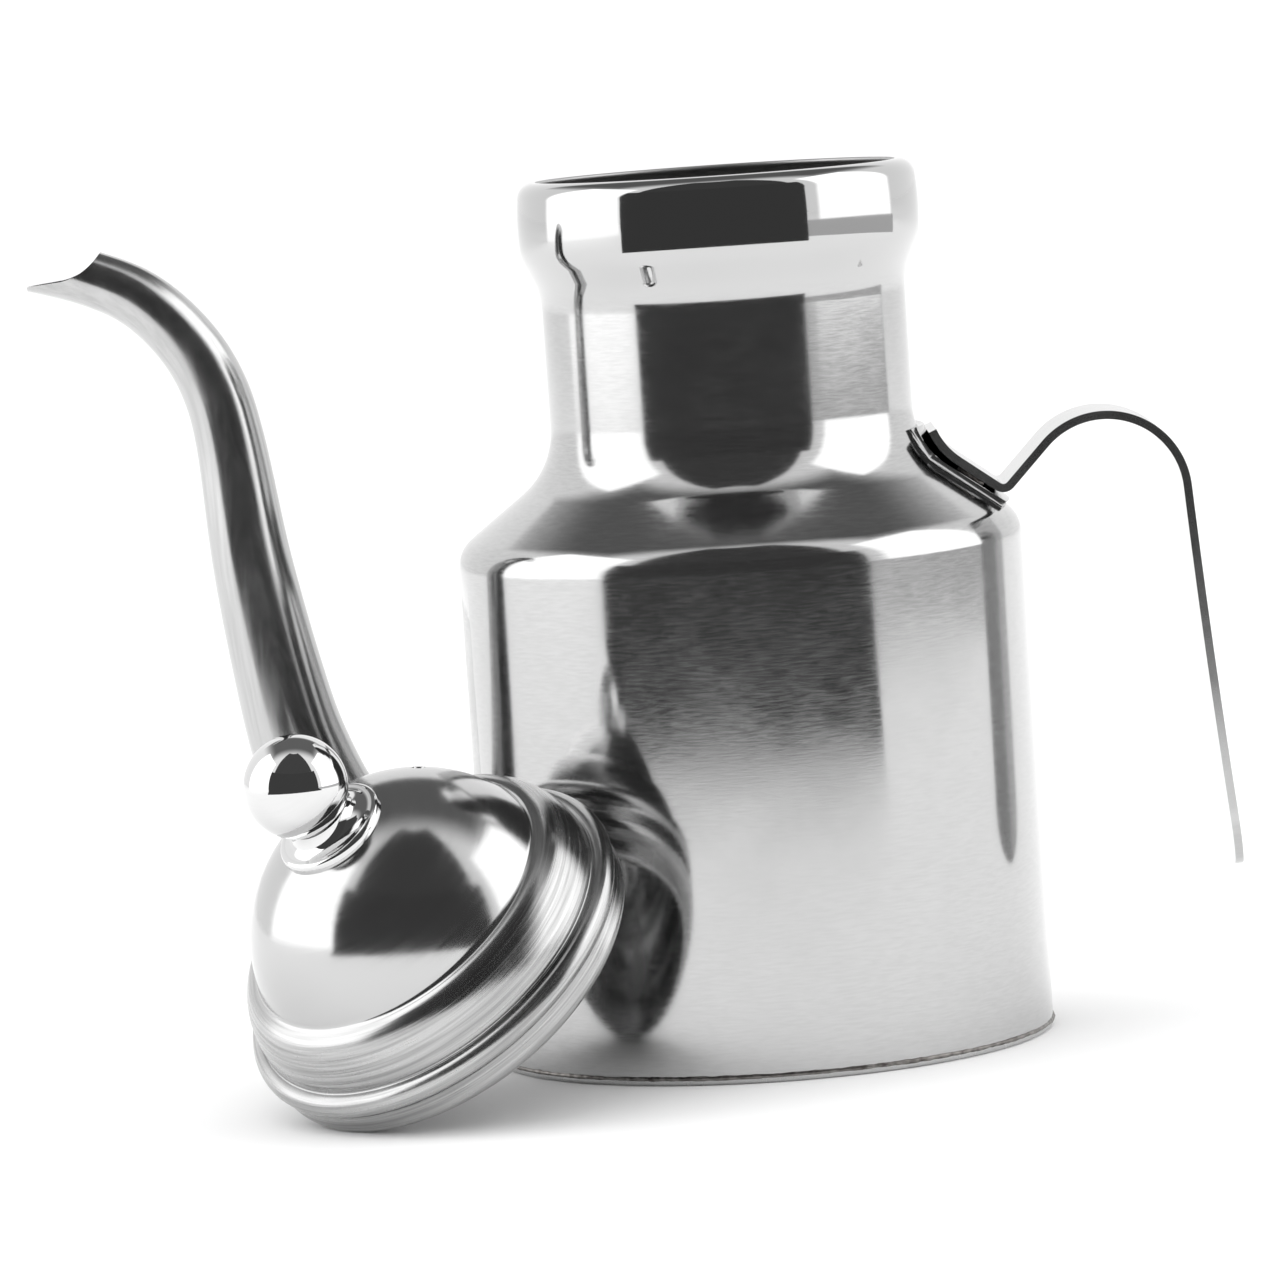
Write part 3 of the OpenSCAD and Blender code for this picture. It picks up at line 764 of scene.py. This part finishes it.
class KETTLE_OT_knob(bpy.types.Operator):
    """Turns the ball knob and the spool under it"""
    bl_idname = "kettle.knob"
    bl_label = "Knob"

    def execute(self, context):
        d, rad = Lid(), math.radians
        flange_r, waist_r, hollow_r, edge = 9.2 * MM, 5.4 * MM, 2.6 * MM, 0.8 * MM
        top = d.dome_z + d.s.dome_h + 0.1 * MM
        cup_r = d.ball_r + 0.1 * MM
        across = [d.screw_r + (flange_r - d.screw_r) * i / 12 for i in range(13)]
        under = [(x, d.on_dome(x) + 0.01 * MM) for x in across]
        side = arc((flange_r - edge, top - edge), edge, 0, rad(90), 10)
        waist = arc((waist_r + hollow_r, top + hollow_r), hollow_r, rad(270), rad(180), 16)
        cup_edge, cup_hole = math.asin(waist_r / cup_r), math.asin(d.screw_r / cup_r)
        turns = [cup_edge + (cup_hole - cup_edge) * i / 10 for i in range(11)]
        cup = [(cup_r * math.sin(a), d.ball_z - cup_r * math.cos(a)) for a in turns]
        waist[-1] = (waist_r, min(waist[-1][1], cup[0][1] - 0.05 * MM))
        spool = turned("knob_spool", under + side + waist + cup + [under[0]], SPOOL_STEPS)
        lay_down(spool)
        finish = settings("kettle_finish")
        # Stainless bar, turned and buffed to a mirror: sharp images, and only a breath of haze.
        move = lid_frame()
        buffed = metal("stainless_turned_buffed", finish.knob, 0.03, 0.012, 0.3 * MM, 0.0004 * MM,
                       (30, 30, 1), at=move.translation, turn=move.to_euler(), groove=0.98)
        place(spool, "lid", buffed, ["knob_foot"], "knob_steel")

        bpy.ops.object.select_all(action="DESELECT")
        bpy.ops.mesh.primitive_uv_sphere_add(segments=128, ring_count=64, radius=d.ball_r,
                                             location=(0, 0, d.ball_z))
        bpy.ops.object.transform_apply(location=True, rotation=True, scale=True)
        ball = named("ball_of_knob")
        edit()
        bpy.ops.mesh.select_all(action="SELECT")
        bpy.ops.mesh.bisect(plane_co=(0, 0, d.ball_z - d.ball_r + 0.12 * MM), plane_no=(0, 0, -1),
                            use_fill=True, clear_outer=True)
        edit("OBJECT")
        tidy_mesh()
        lay_down(ball)
        place(ball, "knob", buffed, ["knob_ball"], "knob_steel")
        return {"FINISHED"}


class KETTLE_OT_base(bpy.types.Operator):
    """Lays the base weld and finishes the base disc, the screw and the washer"""
    bl_idname = "kettle.base"
    bl_label = "Base and fasteners"

    def execute(self, context):
        b, finish = Body(), settings("kettle_finish")
        bead_r = 0.42 * MM
        base_t = settings("kettle_body").base_t
        outline = arc((b.r - 0.1 * MM, base_t), bead_r, math.radians(-120), math.radians(120), 10)
        seam = turned("base_weld_bead", outline + [outline[0]], SEAM_STEPS)
        for size, depth in ((1.3 * MM, 0.25 * MM), (5 * MM, 0.25 * MM)):
            clouds = bpy.data.textures.new("base_ripples", "CLOUDS")
            clouds.noise_scale = size
            finish_with(seam, "DISPLACE", texture=clouds, texture_coords="LOCAL", strength=depth,
                        mid_level=0.6)
        tidy_mesh(60)
        place(seam, "kettle", bpy.data.materials["weld_bead_brushed"], ["base_weld"], "weld")

        # Stainless plate, flat-ground: dull, with an even cross grain.
        disc = metal("stainless_plate_ground", finish.satin, 0.24, 0.05, 0.4 * MM, 0.002 * MM, (1, 30, 30))
        # Stainless screw stock, as turned: plain and slightly grey.
        bolt = metal("stainless_fastener_turned", finish.bolt, 0.2, 0.04, 0.3 * MM, 0.002 * MM, (20, 20, 1))
        for node, material in (("base_disc", disc), ("knob_screw", bolt), ("knob_washer", bolt)):
            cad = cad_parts[node]
            cad.data.materials.clear()
            cad.data.materials.append(material)
        return {"FINISHED"}


# The studio. Lengths are in metres: it is a room's size, and nothing of it is part of the kettle.
FLOOR_SIDE = 40
SKY_LIGHT = 1.06            # the white surroundings
LAMP_PLACE = (0, 0.3, 2.4)
LAMP_SIDE = 3.0
LAMP_POWER = 10
LIT_FROM = 1.0              # a panel brighter than this one is a light, and lights the floor too
# name, width and height, place, point that it faces, light, share of its size that fades at the edge
PANELS = [
    ("flag_ceiling", (4.6, 4.4), (0, 1.5, 2.4), (0, 1.5, 0), 0.15, 0.25),
    ("soft_left", (2.0, 2.6), (-1.7, -0.1, 1.2), (0, -0.1, 1.2), 2.1, 0.08),
    ("soft_right", (2.0, 2.6), (1.7, -0.1, 1.2), (0, -0.1, 1.2), 2.1, 0.08),
]
# name, outline as (distance, height), degrees that it reaches to the left and right of the front, light
COVES = [
    ("flag_cove", [(0.5, 0.001), (2.0, 0.001), (2.0, 1.4)], (-58, 51), 0.06),
    ("flag_over", [(2.0, 1.4), (0.35, 2.35)], (-50, 45), 0.07),
    ("flag_side", [(0.75, 0.002), (1.6, 0.002), (1.6, 0.05)], (51, 118), 0.62),
]
COVE_STEPS = 32
FRONT = -90                 # the front's direction from +X, in degrees
SENSOR_WIDTH = 36           # in millimetres, as a lens is
CLIP = (0.05, 60)           # the nearest and the farthest that the camera sees


def lit(obj, light, fade=None):
    """A lit panel is soft white and an unlit one dark cloth. It shows in the steel but not to the
    camera, and only a lit one lights the floor. Its edges can fade out over a share of its size."""
    material, tree = new_material(obj.name)
    shown = add(tree, "ShaderNodeEmission", (), {"Color": (1, 1, 1, 1), "Strength": light}).outputs[0]
    if fade:
        uv = add(tree, "ShaderNodeTexCoord").outputs["UV"]
        across = add(tree, "ShaderNodeSeparateXYZ", {"Vector": uv})
        from_middle = []
        for axis in ("X", "Y"):
            off = add(tree, "ShaderNodeMath", {0: across.outputs[axis]}, {1: 0.5},
                      operation="SUBTRACT")
            size = add(tree, "ShaderNodeMath", {0: off.outputs[0]}, operation="ABSOLUTE")
            from_middle.append(size.outputs[0])
        far = add(tree, "ShaderNodeMath", dict(enumerate(from_middle)), operation="MAXIMUM").outputs[0]
        share = remap(tree, far, 0.5, 0.5 - fade, 0, 1, "SMOOTHSTEP")
        clear = add(tree, "ShaderNodeBsdfTransparent").outputs[0]
        shown = add(tree, "ShaderNodeMixShader", {0: share, 1: clear, 2: shown}).outputs[0]
    add(tree, "ShaderNodeOutputMaterial", {"Surface": shown})
    obj.data.materials.append(material)
    obj.visible_camera = obj.visible_shadow = False
    obj.visible_diffuse = light > LIT_FROM


def panel(name, size, location, aim, light, fade):
    """A flat panel that faces a point."""
    bpy.ops.object.select_all(action="DESELECT")
    bpy.ops.mesh.primitive_plane_add(size=1, location=location)
    obj = named(name)
    obj.scale = (size[0], size[1], 1)
    obj.rotation_euler = (Vector(aim) - Vector(location)).to_track_quat("Z", "Y").to_euler()
    lit(obj, light, fade)


def cove(name, outline, reach, light):
    """A panel bent around the kettle, from its outline and the degrees to each side of the front."""
    left, right = reach
    draw_outline(outline)
    # The outline is turned clockwise, so it starts at the right-hand end.
    bpy.ops.mesh.spin(steps=COVE_STEPS, angle=math.radians(right - left), center=(0, 0, 0), axis=Z_AXIS)
    edit("OBJECT")
    obj = named(name)
    obj.rotation_euler = (0, 0, math.radians(FRONT + right))
    lit(obj, light)


class KETTLE_OT_stage(bpy.types.Operator):
    """Sets up the floor, the soft lights, the dark flags and the camera"""
    bl_idname = "kettle.stage"
    bl_label = "Studio"

    def execute(self, context):
        s, finish = settings("kettle_stage"), settings("kettle_finish")
        scene = context.scene
        scene.view_settings.view_transform = "Standard"
        # Board, painted matt white: it takes a soft shadow and gives no sheen.
        board, tree = new_material("floor_board_matt")
        shader = add(tree, "ShaderNodeBsdfPrincipled", (),
                     {"Base Color": (*finish.floor, 1), "Roughness": 0.9, "Specular IOR Level": 0.1})
        add(tree, "ShaderNodeOutputMaterial", {"Surface": shader.outputs[0]})
        bpy.ops.object.select_all(action="DESELECT")
        bpy.ops.mesh.primitive_plane_add(size=FLOOR_SIDE, location=(0, 0, -0.02 * MM))
        bpy.ops.object.transform_apply(location=True, rotation=True, scale=True)
        floor = named("studio_floor")
        floor.data.materials.append(board)

        for args in PANELS:
            panel(*args)
        for args in COVES:
            cove(*args)
        # A wide lamp overhead that lights the board and isn't mirrored in the steel
        bpy.ops.object.light_add(type="AREA", location=LAMP_PLACE)
        lamp = bpy.context.object
        lamp.name = "board_lamp"
        lamp.data.shape = "SQUARE"
        lamp.data.size, lamp.data.energy = LAMP_SIDE, LAMP_POWER
        lamp.visible_glossy = lamp.visible_camera = False
        world = bpy.data.worlds.new("soft_white")
        scene.world = world
        world.use_nodes = True
        world.node_tree.nodes.clear()
        back = add(world.node_tree, "ShaderNodeBackground", (),
                   {"Color": (1, 1, 1, 1), "Strength": SKY_LIGHT})
        add(world.node_tree, "ShaderNodeOutputWorld", {"Surface": back.outputs[0]})

        bpy.ops.object.camera_add(location=(-s.eye_left, -s.eye_out, s.eye_up))
        camera = bpy.context.object
        camera.name = "studio_camera"
        camera.data.lens, camera.data.sensor_width = s.lens, SENSOR_WIDTH
        camera.data.clip_start, camera.data.clip_end = CLIP
        camera.rotation_euler = (Matrix.Rotation(math.radians(90) - s.look_down, 3, "X")
                                 @ Matrix.Rotation(-s.roll, 3, "Z")).to_euler()
        scene.camera = camera
        return {"FINISHED"}


class KETTLE_PT_panel(bpy.types.Panel):
    """Lists the steps that build the kettle"""
    bl_idname = "KETTLE_PT_panel"
    bl_label = "Gooseneck kettle"
    bl_space_type = "VIEW_3D"
    bl_region_type = "UI"
    bl_category = "Kettle"

    def draw(self, context):
        for operator in OPERATORS:
            self.layout.operator(operator.bl_idname)


OPERATORS = (KETTLE_OT_base, KETTLE_OT_body, KETTLE_OT_spout, KETTLE_OT_handle, KETTLE_OT_lid,
             KETTLE_OT_knob, KETTLE_OT_stage)
CLASSES = (*GROUPS.values(), *OPERATORS, KETTLE_PT_panel)


def register():
    for cls in CLASSES:
        bpy.utils.register_class(cls)
    for name, group in GROUPS.items():
        setattr(bpy.types.Scene, name, bpy.props.PointerProperty(type=group))


def unregister():
    for name in GROUPS:
        delattr(bpy.types.Scene, name)
    for cls in reversed(CLASSES):
        bpy.utils.unregister_class(cls)


def main():
    register()
    finish = settings("kettle_finish")
    # Weld metal, wire-brushed after welding: rough, grey, with darker heat tint in the hollows.
    metal("weld_bead_brushed", finish.seam, 0.38, 0.1, 0.5 * MM, 0.02 * MM, (1, 1, 1),
          tint=(finish.scorch, 1.5 * MM))
    for operator in OPERATORS:
        group, name = operator.bl_idname.split(".")
        getattr(getattr(bpy.ops, group), name)()
    bpy.context.view_layer.update()


if __name__ == "__main__":
    main()
